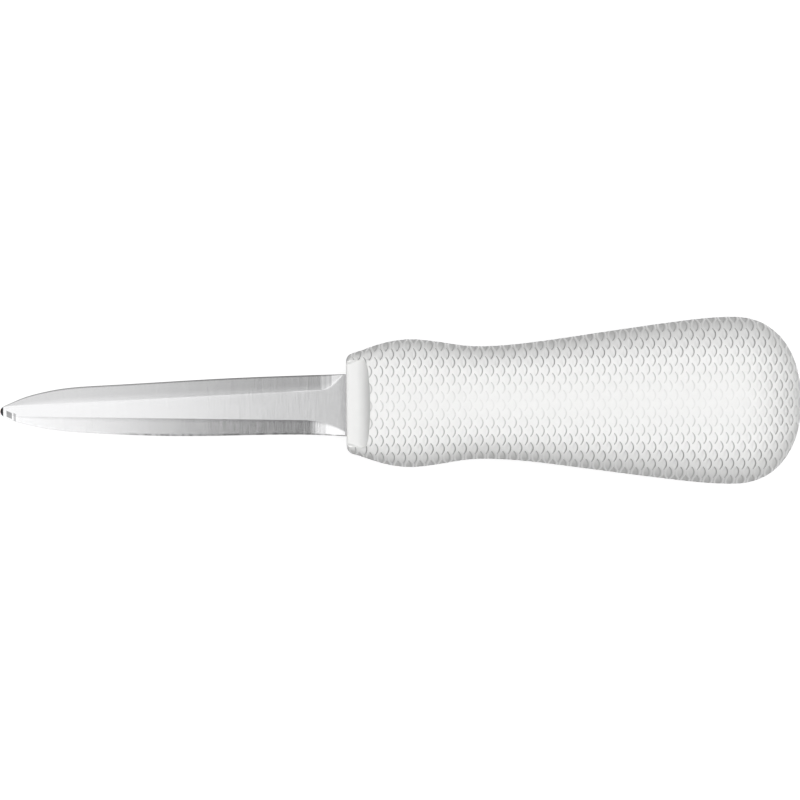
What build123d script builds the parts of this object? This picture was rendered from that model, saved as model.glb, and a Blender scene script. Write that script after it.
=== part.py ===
from build123d import *
from math import acos, cos, radians, sin
import os

# An oyster knife with a short ground blade in a thick moulded handle, in millimetres.
# It lies on its broad side: +X runs from the tip to the butt, Y across the blade's width, +Z up.
# The origin is under the middle of the knife, on the surface that it lies on.
# Lengthwise places are measured from the tip on the blade, and from the front face on the handle.

# Overall
blade_reach = 79.6
handle_length = 104.4

# Blade, cut from bar stock and ground on both faces along both edges
stock_thickness = 2.5
blade_thickness = 2.3
heel_above_axis = 6.8
heel_below_axis = 7.5
heel_step = 0.4
nose_width = 0.9
nose_depth = 0.12
nose_drop = 1.1
top_edge_shares = (
    (1, 1), (0.64, 0.885), (0.3, 0.69), (0.17, 0.575), (0.115, 0.452), (0.058, 0.256), (0.023, 0.08),
)
bottom_edge_shares = ((0.023, 0.379), (0.046, 0.46), (0.11, 0.635), (0.26, 0.825), (0.4, 0.91), (0.6, 0.95))
heel_run_shares = ((0.925, 0.955), (1, 1))

# Bevels and their run-outs before the heel
bevel_angle = 13.0
bevel_width = 3.4
top_bevel_length = 73.3
bottom_bevel_length = 69.5
top_wheel_radius = 20.0
bottom_wheel_radius = 85.0
top_chord_shares = ((0.17, 0.575), (1, 1))
bottom_chord_shares = ((0.22, 0.79), (0.925, 0.955))
tip_facet_length = 3.8
tip_facet_angle = 5.0

# Tang, inside the handle
heel_depth = 2.0
tang_width = 10.5
tang_length = 72.0
tang_root_radius = 1.5
tang_root_limit_share = 0.9
tang_tail_radius = 3.0
lock_hole_diameter = 6.0
lock_hole_count = 3
lock_hole_pitch = 20.0
first_lock_hole = 18.0

# Handle outline, as full widths across Y and full thicknesses along Z
front_width = 22.4
front_thickness = 15.6
front_corner_share = 0.84
front_edge_radius = 1.3
swell_position = 14.4
swell_width = 29.4
swell_thickness = 19.8
swell_corner_share = 0.58
waist_position = 31.7
waist_width = 25.9
waist_thickness = 18.4
waist_corner_share = 0.55
butt_width = 38.4
butt_thickness = 26.0
butt_corner_share = 0.51
dome_length = 15.8
dome_fullness = 2.25
broad_flat_share = 0.49
to_swell_shares = ((0.25, 0.31), (0.5, 0.66), (0.75, 0.9))
to_waist_shares = ((0.25, 0.17), (0.5, 0.53), (0.75, 0.9))
to_butt_shares = ((0.25, 0.19), (0.5, 0.506), (0.75, 0.812))
dome_angles = (20, 37, 52, 65, 76, 84, 88)

# Core and grip
grip_wall = 3.2
grip_lip = 0.4
pad_width = 20.0
pad_height = 13.6
pad_flat_length = 3.1
pad_rise_radius = 2.75
pad_edge_radius = 0.5
pad_corner_radius = 1.0

# Every cut runs past the material by this much
overrun = 2.0

knife_length = blade_reach + handle_length
tip_x = -knife_length / 2
front_x = tip_x + blade_reach
mid_height = butt_thickness / 2
butt_position = handle_length - dome_length


# A place on the blade, from its length from the tip and its distance from the handle's axis.
def on_blade(from_tip, from_axis):
    return Vector(tip_x + from_tip, from_axis, 0)


# The points of an edge, given as shares of the reach and of the heel's distance from the axis.
def edge_points(shares, heel_distance):
    return [on_blade(along * blade_reach, across * heel_distance) for along, across in shares]


# The exposed blade's plan, with one spline for each edge and a small arc at the nose.
def blade_plan():
    top = edge_points(top_edge_shares, heel_above_axis)
    bottom = edge_points(bottom_edge_shares, -heel_below_axis)
    heel_run = edge_points(heel_run_shares, -heel_below_axis)
    nose_top = on_blade(nose_depth, nose_width / 2 - nose_drop)
    nose_bottom = on_blade(nose_depth, -nose_width / 2 - nose_drop)
    return make_face([
        Spline(*top, nose_top),
        ThreePointArc(nose_top, on_blade(0, -nose_drop), nose_bottom),
        Spline(nose_bottom, *bottom, heel_run[0]),
        Line(heel_run[0], heel_run[-1]),
        Line(heel_run[-1], top[0]),
    ])


# A plate of the given plan, centred on the blade's middle plane.
def plate(plan, thickness):
    return Pos(0, 0, mid_height) * extrude(plan, amount=thickness / 2, both=True)


# A ground bevel's directions: along its shoulder, across the blade to its edge, and square to its face.
def bevel_directions(chord, side, face):
    along = (chord[1] - chord[0]).normalized()
    outward = Vector(-along.Y, along.X, 0) * side
    lean = radians(bevel_angle)
    square = outward * sin(lean) + Vector(0, 0, face) * cos(lean)
    return along, outward, square


# The point of a bevel's shoulder at a length from the tip, on the flat that the bevel falls away from.
def shoulder_point(chord, along, outward, face, from_tip):
    on_chord = chord[0] + along * (on_blade(from_tip, 0) - chord[0]).dot(along)
    return on_chord - outward * bevel_width + Vector(0, 0, mid_height + face * blade_thickness / 2)


# What the grinding wheel takes from one bevel: straight along the shoulder, then out on the wheel's arc.
def bevel_cut(chord, side, face, bevel_length, wheel_radius):
    along, outward, square = bevel_directions(chord, side, face)
    shoulder = shoulder_point(chord, along, outward, face, bevel_length)
    run_out = wheel_radius * sin(acos(1 - overrun / wheel_radius))
    before_tip = -bevel_length - overrun
    above = stock_thickness + overrun
    profile = make_face([
        Line((before_tip, 0), (0, 0)),
        RadiusArc((0, 0), (run_out, overrun), -wheel_radius),
        Line((run_out, overrun), (run_out, above)),
        Line((run_out, above), (before_tip, above)),
        Line((before_tip, above), (before_tip, 0)),
    ])
    side_on = Plane(origin=shoulder, x_dir=along, z_dir=along.cross(square))
    return extrude(side_on * profile, amount=heel_above_axis + heel_below_axis, both=True)


# What the nose's facet takes: the lower bevel's plane, tilted a little further down towards the tip.
def tip_facet_cut(chord, face):
    along, outward, square = bevel_directions(chord, -1, face)
    shoulder = shoulder_point(chord, along, outward, face, tip_facet_length)
    tilt = radians(tip_facet_angle)
    tilted_along = along * cos(tilt) + square * sin(tilt)
    tilted_square = square * cos(tilt) - along * sin(tilt)
    side_on = Plane(origin=shoulder, x_dir=tilted_along, z_dir=tilted_along.cross(tilted_square))
    reach = tip_facet_length + overrun
    return side_on * Pos(0, stock_thickness / 2) * Box(2 * reach, stock_thickness, 2 * heel_below_axis)


# The polished blade in front of the handle, with its four bevels and the facets at the nose.
def ground_blade():
    polished_end = Plane(origin=(front_x - heel_step, 0, 0), z_dir=(-1, 0, 0))
    polished = split(plate(blade_plan(), blade_thickness), bisect_by=polished_end, keep=Keep.TOP)
    top_chord = edge_points(top_chord_shares, heel_above_axis)
    bottom_chord = edge_points(bottom_chord_shares, -heel_below_axis)
    for face in (1, -1):
        polished -= bevel_cut(top_chord, 1, face, top_bevel_length, top_wheel_radius)
        polished -= bevel_cut(bottom_chord, -1, face, bottom_bevel_length, bottom_wheel_radius)
        polished -= tip_facet_cut(bottom_chord, face)
    return polished


# The bar as it goes into the handle: the heel's full width fills the slot, then it narrows to the tang.
def tang_plan():
    heel_end = front_x + heel_depth
    heel = make_face(Polyline(
        (front_x - heel_step, heel_above_axis),
        (heel_end, heel_above_axis),
        (heel_end, -heel_below_axis),
        (front_x - heel_step, -heel_below_axis),
        close=True,
    ))
    tang = Pos(front_x + tang_length / 2, 0) * Rectangle(tang_length, tang_width)
    tang = fillet(tang.vertices().group_by(Axis.X)[-1], tang_tail_radius)
    plan = heel + tang
    roots = [plan.vertices().sort_by_distance((heel_end, side * tang_width / 2))[0] for side in (1, -1)]
    step = min(heel_above_axis, heel_below_axis) - tang_width / 2
    plan = fillet(roots, min(tang_root_radius, step * tang_root_limit_share))
    for i in range(lock_hole_count):
        plan -= Pos(front_x + first_lock_hole + i * lock_hole_pitch, 0) * Circle(lock_hole_diameter / 2)
    return plan


def blade():
    return ground_blade() + plate(tang_plan(), stock_thickness)


# One cross-section of the handle: flat in the middle of both broad sides, with a curve round each corner.
def handle_section(from_front, half_width, half_thickness, corner_share):
    def point(across, up):
        return Vector(front_x + from_front, across * half_width, mid_height + up * half_thickness)

    def corner(side, face):
        arriving = broad_flat_share + (1 - broad_flat_share) * corner_share
        return Bezier(
            point(side, 0),
            point(side, face * corner_share),
            point(side * arriving, face),
            point(side * broad_flat_share, face),
        )

    def flat(face):
        return Line(point(broad_flat_share, face), point(-broad_flat_share, face))

    return make_face([corner(1, 1), flat(1), corner(-1, 1), corner(-1, -1), flat(-1), corner(1, -1)])


# A key station and those after it, up to the next key one, with the sizes eased by a table of shares.
def eased_stations(start, end, shares):
    stations = [start]
    for along, eased in shares:
        place = start[0] + (end[0] - start[0]) * along
        sizes = [a + (b - a) * eased for a, b in zip(start[1:], end[1:])]
        stations.append((place, *sizes))
    return stations


# The dome at the butt: its outline is a superellipse, so its sections shrink as they near the end.
def dome_stations(butt, end_place):
    place, half_width, half_thickness, corner_share = butt
    stations = [butt]
    for angle in dome_angles:
        along = sin(radians(angle)) ** (2 / dome_fullness)
        shrink = cos(radians(angle)) ** (2 / dome_fullness)
        at = place + (end_place - place) * along
        stations.append((at, half_width * shrink, half_thickness * shrink, corner_share))
    return stations


# The handle's whole form, drawn in by an inset on every side but the front face.
def handle_form(inset):
    def key_station(place, width, thickness, corner_share):
        return place, width / 2 - inset, thickness / 2 - inset, corner_share

    front = key_station(0, front_width, front_thickness, front_corner_share)
    swell = key_station(swell_position, swell_width, swell_thickness, swell_corner_share)
    waist = key_station(waist_position, waist_width, waist_thickness, waist_corner_share)
    butt = key_station(butt_position, butt_width, butt_thickness, butt_corner_share)
    stations = eased_stations(front, swell, to_swell_shares)
    stations += eased_stations(swell, waist, to_waist_shares)
    stations += eased_stations(waist, butt, to_butt_shares)
    stations += dome_stations(butt, handle_length - inset)
    return loft([handle_section(*station) for station in stations])


# What a window clears, seen from the side: round the pad's front edge, along its flat, and up the rise.
def window_profile():
    floor = pad_height / 2
    above = butt_thickness / 2 + overrun
    before = front_x - overrun
    flat_start = front_x + pad_edge_radius
    flat_end = front_x + pad_flat_length
    wall = flat_end + pad_rise_radius
    return make_face([
        Line((before, floor - pad_edge_radius), (front_x, floor - pad_edge_radius)),
        RadiusArc((front_x, floor - pad_edge_radius), (flat_start, floor), pad_edge_radius),
        Line((flat_start, floor), (flat_end, floor)),
        RadiusArc((flat_end, floor), (wall, floor + pad_rise_radius), -pad_rise_radius),
        Line((wall, floor + pad_rise_radius), (wall, above)),
        Line((wall, above), (before, above)),
        Line((before, above), (before, floor - pad_edge_radius)),
    ])


# The pads seen from above, up to the given end, with the two corners at the front rounded.
def pad_plan(end):
    half = pad_width / 2
    straight = half - pad_corner_radius
    before = front_x - overrun
    corner_end = front_x + pad_corner_radius
    return make_face([
        Line((before, straight), (front_x, straight)),
        RadiusArc((front_x, straight), (corner_end, half), pad_corner_radius),
        Line((corner_end, half), (end, half)),
        Line((end, half), (end, -half)),
        Line((end, -half), (corner_end, -half)),
        RadiusArc((corner_end, -half), (front_x, -straight), pad_corner_radius),
        Line((front_x, -straight), (before, -straight)),
        Line((before, -straight), (before, straight)),
    ])


# The two windows over the pads, one on each broad face, open at the front.
def windows():
    side_on = Plane(origin=(0, 0, mid_height), x_dir=(1, 0, 0), z_dir=(0, -1, 0))
    upper = extrude(side_on * window_profile(), amount=pad_width, both=True)
    upper &= plate(pad_plan(front_x + pad_flat_length + pad_rise_radius + overrun), 2 * butt_thickness)
    lower = mirror(upper, about=Plane(origin=(0, 0, mid_height), z_dir=(0, 0, 1)))
    return upper, lower


# The moulded handle as one form, with its front edge rounded over and the windows cut.
def moulded_body():
    body = handle_form(0)
    front_face = body.faces().sort_by(Axis.X)[0]
    body = fillet(front_face.edges(), front_edge_radius)
    for window in windows():
        body -= window
    return body


# The core round the tang: a smaller copy of the handle, with a block at the front that makes the pads.
# The block's rise ends a lip's depth under the grip's surface, so that the grip's edge caps it.
def handle_core(body, steel):
    block = plate(pad_plan(front_x + pad_flat_length + pad_rise_radius), butt_thickness)
    block &= handle_form(grip_lip)
    core = (handle_form(grip_wall) + block) & body
    return core - steel


# The grip is moulded over the core, so it is the rest of the handle.
def grip(body, core, steel):
    return body - core - steel


def write_parts():
    os.makedirs("parts", exist_ok=True)
    steel = blade()
    body = moulded_body()
    core = handle_core(body, steel)
    pieces = {"blade": steel, "handle_core": core, "grip": grip(body, core, steel)}
    for name, piece in pieces.items():
        export_step(piece, f"parts/{name}.step")
        print(name, round(piece.volume), piece.bounding_box())


write_parts()
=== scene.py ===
import math
import bmesh
import bpy
import numpy as np
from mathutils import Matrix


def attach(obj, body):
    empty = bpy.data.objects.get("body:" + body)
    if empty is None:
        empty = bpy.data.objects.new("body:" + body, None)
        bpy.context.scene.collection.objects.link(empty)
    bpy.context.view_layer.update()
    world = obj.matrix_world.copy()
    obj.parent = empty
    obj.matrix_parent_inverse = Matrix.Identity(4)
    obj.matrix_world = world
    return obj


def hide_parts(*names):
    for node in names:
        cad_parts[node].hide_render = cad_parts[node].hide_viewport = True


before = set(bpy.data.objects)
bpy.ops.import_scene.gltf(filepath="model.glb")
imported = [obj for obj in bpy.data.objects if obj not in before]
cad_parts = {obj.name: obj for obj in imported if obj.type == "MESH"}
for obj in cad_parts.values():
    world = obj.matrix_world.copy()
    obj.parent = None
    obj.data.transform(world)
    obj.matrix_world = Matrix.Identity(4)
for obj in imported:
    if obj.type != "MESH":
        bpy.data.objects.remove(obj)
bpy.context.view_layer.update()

scene = bpy.context.scene
millimetre = 0.001
print("frame loaded:", sorted(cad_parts))

# Camera: straight above the knife, turned a trace, framing 184 mm at the height of the blade
camera = {"lens": 200.0, "sensor": 36.0, "place": (-0.00012, 0.00074, 1.0352), "turn": -0.00904}


# A camera that looks straight down
def addCamera():
    data = bpy.data.cameras.new("topCamera")
    data.lens, data.sensor_width = camera["lens"], camera["sensor"]
    shot = bpy.data.objects.new("topCamera", data)
    shot.location = camera["place"]
    shot.rotation_euler = (0, 0, camera["turn"])
    scene.collection.objects.link(shot)
    scene.camera = shot


addCamera()
scene.view_settings.view_transform = "Standard"


# A node tree's node of the given type, with its inputs and settings filled in
def addNode(tree, kind, settings=(), **inputs):
    node = tree.nodes.new(kind)
    for name, value in dict(settings).items():
        setattr(node, name, value)
    for name, value in inputs.items():
        socket = node.inputs[name.replace("_", " ")]
        if isinstance(value, bpy.types.NodeSocket):
            tree.links.new(value, socket)
        else:
            socket.default_value = value
    return node


# A Math node's result
def mathOf(tree, operation, first, second=0.0):
    node = tree.nodes.new("ShaderNodeMath")
    node.operation = operation
    for socket, value in zip(node.inputs, (first, second)):
        if isinstance(value, bpy.types.NodeSocket):
            tree.links.new(value, socket)
        else:
            socket.default_value = value
    return node.outputs[0]


# One for rays that should see the white background, and nothing for those that light the object
def seesBackground(tree):
    path = tree.nodes.new("ShaderNodeLightPath")
    seen = mathOf(tree, "MAXIMUM", path.outputs["Is Camera Ray"], path.outputs["Is Glossy Ray"])
    return mathOf(tree, "MAXIMUM", seen, path.outputs["Is Transmission Ray"])


# Studio: a white surround, one soft lamp overhead, and panels that only reflections show
studio = {
    "surroundLight": 0.36,      # what the surround adds to the object
    "floorColour": (0.25, 0.25, 0.25, 1), "floorGlow": 0.86, "floorSize": 6.0, "floorZ": -0.0002,
    # Dark band round the horizon, in reflections only
    "rimHeight": 0.5, "rimRadius": 1.5, "rimSteps": 49, "rimTone": 0.12,
}
# Each lamp: name, angle from straight up towards X and towards Y in degrees, size in metres, light that it
# gives a surface that faces up
lamps = (
    ("topLamp", 3, 2, 0.4, 0.49),
    ("leftLamp", -60, 0, 0.5, 0.07),
    ("rightLamp", 54, 0, 0.5, 0.1),
)
lampDistance = 1.3
# Each panel: name, the angles from straight up that it spans along X and across Y in degrees, brightness
panels = (
    ("leftPanel", (-42, -4.2), (-14, 14), 1.48),
    ("rightPanel", (-4.2, 70), (-14, 14), 0.77),
    ("lowerLeftPanel", (-42, -6.6), (-70, -14), 1.64),
    ("lowerPanel", (-6.6, 70), (-70, -14), 0.27),
    ("upperLeftPanel", (-42, -6.5), (14, 70), 1.12),
    ("upperPanel", (-6.5, 70), (14, 70), 0.5),
)
panelDistance, panelSteps = 1.6, 13


# The surround, the floor, the lamps and the panels
def addStudio():
    world = bpy.data.worlds.new("surround")
    world.use_nodes = True
    tree = world.node_tree
    tree.nodes.clear()
    seen = seesBackground(tree)
    share = mathOf(tree, "MULTIPLY", seen, 1 - studio["surroundLight"])
    strength = mathOf(tree, "ADD", share, studio["surroundLight"])
    light = addNode(tree, "ShaderNodeBackground", Color=(1, 1, 1, 1), Strength=strength)
    out = tree.nodes.new("ShaderNodeOutputWorld")
    tree.links.new(light.outputs[0], out.inputs["Surface"])
    scene.world = world

    half = studio["floorSize"] / 2
    mesh = bpy.data.meshes.new("floor")
    corners = [(-half, -half, 0), (half, -half, 0), (half, half, 0), (-half, half, 0)]
    mesh.from_pydata(corners, [], [(0, 1, 2, 3)])
    floor = bpy.data.objects.new("floor", mesh)
    floor.location = (0, 0, studio["floorZ"])
    scene.collection.objects.link(floor)
    pale = bpy.data.materials.new("paleFloor")
    pale.use_nodes = True
    tree = pale.node_tree
    tree.nodes.clear()
    body = addNode(tree, "ShaderNodeBsdfDiffuse", Color=studio["floorColour"])
    glow = addNode(tree, "ShaderNodeEmission", Color=(1, 1, 1, 1),
                   Strength=mathOf(tree, "MULTIPLY", seesBackground(tree), studio["floorGlow"]))
    both = tree.nodes.new("ShaderNodeAddShader")
    tree.links.new(body.outputs[0], both.inputs[0])
    tree.links.new(glow.outputs[0], both.inputs[1])
    out = tree.nodes.new("ShaderNodeOutputMaterial")
    tree.links.new(both.outputs[0], out.inputs["Surface"])
    mesh.materials.append(pale)

    for name, along, across, size, light in lamps:
        addLamp(name, along, across, size, light)
    for name, alongs, acrosses, brightness in panels:
        addPanel(name, panelPatch(alongs, acrosses), brightness)
    addPanel("rimPanel", rimBand(), studio["rimTone"])


# A round lamp that faces the object. Its power follows from the light wanted: power over the square of the
# distance is pi squared times the light, over the cosine of the lamp's angle from straight up
def addLamp(name, along, across, size, light):
    ray = np.array([math.tan(math.radians(along)), math.tan(math.radians(across)), 1.0])
    ray /= np.linalg.norm(ray)
    data = bpy.data.lights.new(name, "AREA")
    data.shape, data.size = "DISK", size
    data.energy = math.pi**2 * lampDistance**2 * light / ray[2]
    lamp = bpy.data.objects.new(name, data)
    lamp.location = ray * lampDistance
    lamp.rotation_euler = lamp.location.to_track_quat("Z", "Y").to_euler()
    lamp.visible_glossy = False
    scene.collection.objects.link(lamp)


# A patch of a sphere round the object: its corners follow from the angles that it spans
def panelPatch(alongs, acrosses):
    spans = [np.radians(np.linspace(*span, panelSteps)) for span in (alongs, acrosses)]
    u, v = np.meshgrid(*spans, indexing="ij")
    rays = np.stack([np.tan(u), np.tan(v), np.ones_like(u)], -1)
    return rays / np.linalg.norm(rays, axis=-1, keepdims=True) * panelDistance


# An upright band round the object: a circle carried straight up
def rimBand():
    turns = np.linspace(0, 2 * math.pi, studio["rimSteps"])
    turn, height = np.meshgrid(turns, [0.0, studio["rimHeight"]], indexing="ij")
    return np.stack([studio["rimRadius"] * np.cos(turn), studio["rimRadius"] * np.sin(turn), height], -1)


# A panel that only reflections show
def addPanel(name, points, brightness):
    mesh = gridMesh(name, points)
    glow = bpy.data.materials.new(name)
    glow.use_nodes = True
    tree = glow.node_tree
    tree.nodes.clear()
    light = addNode(tree, "ShaderNodeEmission", Color=(1, 1, 1, 1), Strength=brightness)
    out = tree.nodes.new("ShaderNodeOutputMaterial")
    tree.links.new(light.outputs[0], out.inputs["Surface"])
    mesh.materials.append(glow)
    panel = bpy.data.objects.new(name, mesh)
    scene.collection.objects.link(panel)
    panel.visible_camera = panel.visible_diffuse = panel.visible_shadow = panel.visible_transmission = False


# A mesh over a grid of points, closed round its second direction if asked. Each cell has four corners,
# and a pole closes an end with a fan of triangles
def gridMesh(name, points, around=False, firstPole=None, lastPole=None):
    rows, columns = points.shape[:2]
    index = np.arange(rows * columns).reshape(rows, columns)
    beside = np.roll(index, -1, axis=1) if around else index[:, 1:]
    here = index if around else index[:, :-1]
    cells = np.stack([here[:-1], here[1:], beside[1:], beside[:-1]], -1).reshape(-1, 4)
    vertices, faces = points.reshape(-1, 3), cells.tolist()
    if firstPole is not None:
        tip = np.full(columns, len(vertices))
        faces += np.stack([tip, index[0], np.roll(index[0], -1)], -1).tolist()
        vertices = np.vstack([vertices, [firstPole]])
    if lastPole is not None:
        tip = np.full(columns, len(vertices))
        faces += np.stack([index[-1], tip, np.roll(index[-1], -1)], -1).tolist()
        vertices = np.vstack([vertices, [lastPole]])
    mesh = bpy.data.meshes.new(name)
    mesh.from_pydata(vertices.tolist(), [], faces)
    mesh.update()
    return mesh


# Three values at each point of a mesh, for its material to read
def addVectors(mesh, name, values):
    mesh.attributes.new(name, "FLOAT_VECTOR", "POINT").data.foreach_set("vector", values.ravel())


# Handle, in millimetres: places are measured from its front face, sizes are full widths and thicknesses
handle = {
    "frontX": -12.4, "middleZ": 13.0, "length": 104.4, "butt": 88.6, "domeFullness": 2.25,
    "keys": (  # place, width, thickness, corner share, flat share
        (0, 22.4, 15.6, 0.84, 0.49), (14.4, 29.4, 19.8, 0.58, 0.49),
        (31.7, 25.9, 18.4, 0.55, 0.49), (88.6, 38.4, 26.0, 0.51, 0.49),
    ),
    "easing": (
        ((0, 0), (0.25, 0.31), (0.5, 0.66), (0.75, 0.9)),
        ((0, 0), (0.25, 0.17), (0.5, 0.53), (0.75, 0.9)),
        ((0, 0), (0.25, 0.19), (0.5, 0.506), (0.75, 0.812)),
    ),
    "frontEdge": 1.3, "wall": 3.2,
}
# The core's smooth pads, one on each broad face
pad = {
    "halfWidth": 10.0, "halfHeight": 6.8, "edge": 0.5, "corner": 1.0,     # with a rounded edge and corners
    "widest": 0.97,                           # share of the handle's half width that a pad may reach
    "flat": 3.1, "rise": 2.75,                # where the arc begins that rises to the grip, and its radius
    "sunk": 0.5, "floor": 0.4,                # how deep the grip runs on under a pad, and how thick it is there
    "rimShift": 0.28, "rimBow": 0.8,          # the grip's rim stands a little forward, and more at its ends
}
# Hollows in the grip: a lattice of shallow lens shapes, with every second row moved by half a pitch
hollow = {
    "pitch": 2.53, "rowPitch": 1.973, "middleX": -2.03, "rowZeroY": 11.2,
    "halfWidth": 0.65, "halfHeight": 0.7, "depth": 0.2, "rightWall": 0.26, "leftWall": 0.5, "sideShare": 0.5,
    "middleShare": 0.15, "fullShare": 0.77, "fullDome": 0.8,  # strength in the middle, and where it is whole
    "frontShare": 0.33, "frontEnd": 30.0,     # added strength at the front, and how far back it reaches
    "flankFrom": 0.6, "flankWhole": 0.3,      # upward share of the surface where its steep flanks begin
    "flankDepth": 0.5, "leastDepth": 0.5,     # how shallow they get there, and where they are weakest
    "endFade": 0.16,                          # share of the butt's length over which they run out
    "fadeFrom": 0.5, "fadeOver": 1.6,         # where they begin behind the front, and over what length
    "slowest": 0.28,                          # least pace of the pattern where the surface is steep
    # The surface's columns in each pitch, and how far they swing with the rows, in millimetres
    "columns": (0.086, 0.152, 0.348, 0.433, 0.586, 0.652, 0.848, 0.933), "sway": 0.33,
}
# How finely the handle is divided, in lines round it and columns along it
grid = {
    "sideLines": 34, "sideCrowding": 0.9, "topLines": 61, "besideEdge": 0.99,
    "frontSteps": 6, "frontGap": 0.1, "pitches": (-10, 60), "buttStep": 0.4, "buttAngle": 55.0,
    "tableSteps": 2001, "halvings": 24, "sharpAngle": 28,
    "rimGap": 0.35, "tuckStart": 0.6, "tuckGap": 0.05,    # where the columns under a pad are drawn together
    "wallRows": 12, "wallPole": 0.96,         # the wall's inner side, and below it the part beside the pads
    "besideStart": 0.4, "besideEnd": 0.3, "besideRows": 4,
    "besideGap": 0.12, "besideTop": 0.8, "besideFront": 0.9,
}


# A cubic spline through the places and values, with no bend at its start, and no slope or no bend at its
# end: second derivatives from the usual tridiagonal system, then the cubic of each span
def splineThrough(places, values, levelEnd=True):
    x, y = np.asarray(places, float), np.asarray(values, float)
    count, gap = len(x), np.diff(x)
    matrix, right = np.zeros((count, count)), np.zeros(count)
    inside = np.arange(1, count - 1)
    matrix[0, 0] = 1
    matrix[inside, inside - 1] = gap[:-1]
    matrix[inside, inside] = 2 * (gap[:-1] + gap[1:])
    matrix[inside, inside + 1] = gap[1:]
    matrix[-1, -2], matrix[-1, -1] = gap[-1] * levelEnd, 2 * gap[-1]
    slope = np.diff(y) / gap
    right[inside] = 6 * np.diff(slope)
    right[-1] = -6 * slope[-1] * levelEnd
    bend = np.linalg.solve(matrix, right)

    def at(place):
        span = np.clip(np.searchsorted(x, place) - 1, 0, count - 2)
        width, before, after = gap[span], place - x[span], x[span + 1] - place
        curve = (bend[span] * after**3 + bend[span + 1] * before**3) / (6 * width)
        first = (y[span] / width - bend[span] * width / 6) * after
        return curve + first + (y[span + 1] / width - bend[span + 1] * width / 6) * before

    return at


# The handle's sizes as splines over the place: each key is eased into the next by a table of shares
def handleCurves():
    stations = []
    for start, end, easing in zip(handle["keys"], handle["keys"][1:], handle["easing"]):
        for along, eased in easing:
            place = start[0] + (end[0] - start[0]) * along
            stations.append([place] + [a + (b - a) * eased for a, b in zip(start[1:], end[1:])])
    table = np.array(stations + [list(handle["keys"][-1])])
    return [splineThrough(table[:, 0], table[:, column]) for column in range(1, 5)]


curves = handleCurves()


# Half width, half thickness, corner share, flat share and shrinkage at each place, drawn in by an inset.
# Past the butt both sizes shrink along a superellipse, and at the front a quarter circle rounds them
def sizesAt(place, inset=0.0):
    width, thickness, corner, flat = curves
    fullness = handle["domeFullness"]
    body = np.minimum(place, handle["butt"])
    dome = np.clip((place - handle["butt"]) / (handle["length"] - inset - handle["butt"]), 0, 1)
    shrink = (1 - dome**fullness) ** (1 / fullness)
    edge = np.clip(1 - place / handle["frontEdge"], 0, 1)
    rounding = handle["frontEdge"] * (1 - np.sqrt(1 - edge**2)) * (inset == 0)
    halfWidth = (width(body) / 2 - inset) * shrink - rounding
    halfThickness = (thickness(body) / 2 - inset) * shrink - rounding
    return halfWidth, halfThickness, corner(body), flat(body), shrink


# A point of the section's corner, as shares of the half sizes: a cubic Bezier from the side to the flat
def cornerPoint(t, corner, flat):
    arriving = flat + (1 - flat) * corner
    across = (1 - t)**3 + 3 * t * (1 - t)**2 + 3 * t**2 * (1 - t) * arriving + t**3 * flat
    up = 3 * t * (1 - t)**2 * corner + 3 * t**2 * (1 - t) + t**3
    return across, up


# Where on the corner a share across is reached, by halving the range again and again
def cornerPlace(across, corner, flat):
    low, high = np.zeros_like(across), np.ones_like(across)
    for _ in range(grid["halvings"]):
        middle = (low + high) / 2
        beyond = cornerPoint(middle, corner, flat)[0] > across
        low, high = np.where(beyond, middle, low), np.where(beyond, high, middle)
    return (low + high) / 2


# The lines of the section's upper half, as shares: 0 at the side up to 1 at the pad's edge, then 1 to -1
# across the top. The lower half is the upper one turned half round
sideShares = np.linspace(0, 1, grid["sideLines"], endpoint=False) ** grid["sideCrowding"]
topShares = np.concatenate([[1], np.linspace(grid["besideEdge"], -grid["besideEdge"], grid["topLines"]), [-1]])
halfLines = 2 * len(sideShares) - 1 + len(topShares)
topStart, topEnd = len(sideShares), len(sideShares) + len(topShares)
isTop = np.zeros(halfLines, bool)             # the lines between a pad's edges
isTop[topStart + 1:topEnd - 1] = True


# y and z of every line at a table of places with one column for each line of the upper half
def upperLines(place, inset=0.0):
    halfWidth, halfThickness, corner, flat, shrink = sizesAt(place, inset)
    short = np.clip(pad["corner"] - place, 0, pad["corner"])
    rounded = pad["halfWidth"] - pad["corner"] + np.sqrt(pad["corner"]**2 - short**2)
    edge = np.minimum(rounded * shrink, halfWidth * pad["widest"])
    y, z = np.empty_like(place), np.empty_like(place)
    top, near, far = slice(topStart, topEnd), slice(0, topStart), slice(topEnd, None)
    across = np.abs(topShares) * edge[:, top] / halfWidth[:, top]
    up = cornerPoint(cornerPlace(across, corner[:, top], flat[:, top]), corner[:, top], flat[:, top])[1]
    y[:, top] = topShares * edge[:, top]
    z[:, top] = np.where(across <= flat[:, top], 1.0, up) * halfThickness[:, top]
    atEdge = cornerPlace(edge / halfWidth, corner, flat)
    for part, shares, sign in ((near, sideShares, 1), (far, sideShares[:0:-1], -1)):
        across, up = cornerPoint(atEdge[:, part] * shares, corner[:, part], flat[:, part])
        y[:, part] = sign * across * halfWidth[:, part]
        z[:, part] = up * halfThickness[:, part]
    return y, z


# The height of a pad over the handle's axis: a rounded front edge, a flat, then an arc that rises to the grip
def padHeight(place):
    front = np.clip(pad["edge"] - place, 0, pad["edge"])
    arc = np.clip(place - pad["flat"], 0, pad["rise"])
    return (pad["halfHeight"] - pad["edge"] + np.sqrt(pad["edge"]**2 - front**2)
            + pad["rise"] - np.sqrt(pad["rise"]**2 - arc**2))


# Where each line of the top meets a pad's rise, by halving the range
def rimPlaces():
    low = np.full((1, halfLines), pad["flat"])
    high = low + pad["rise"]
    for _ in range(grid["halvings"]):
        middle = (low + high) / 2
        under = padHeight(middle) < upperLines(middle)[1]
        low, high = np.where(under, middle, low), np.where(under, high, middle)
    return low[0]


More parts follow.
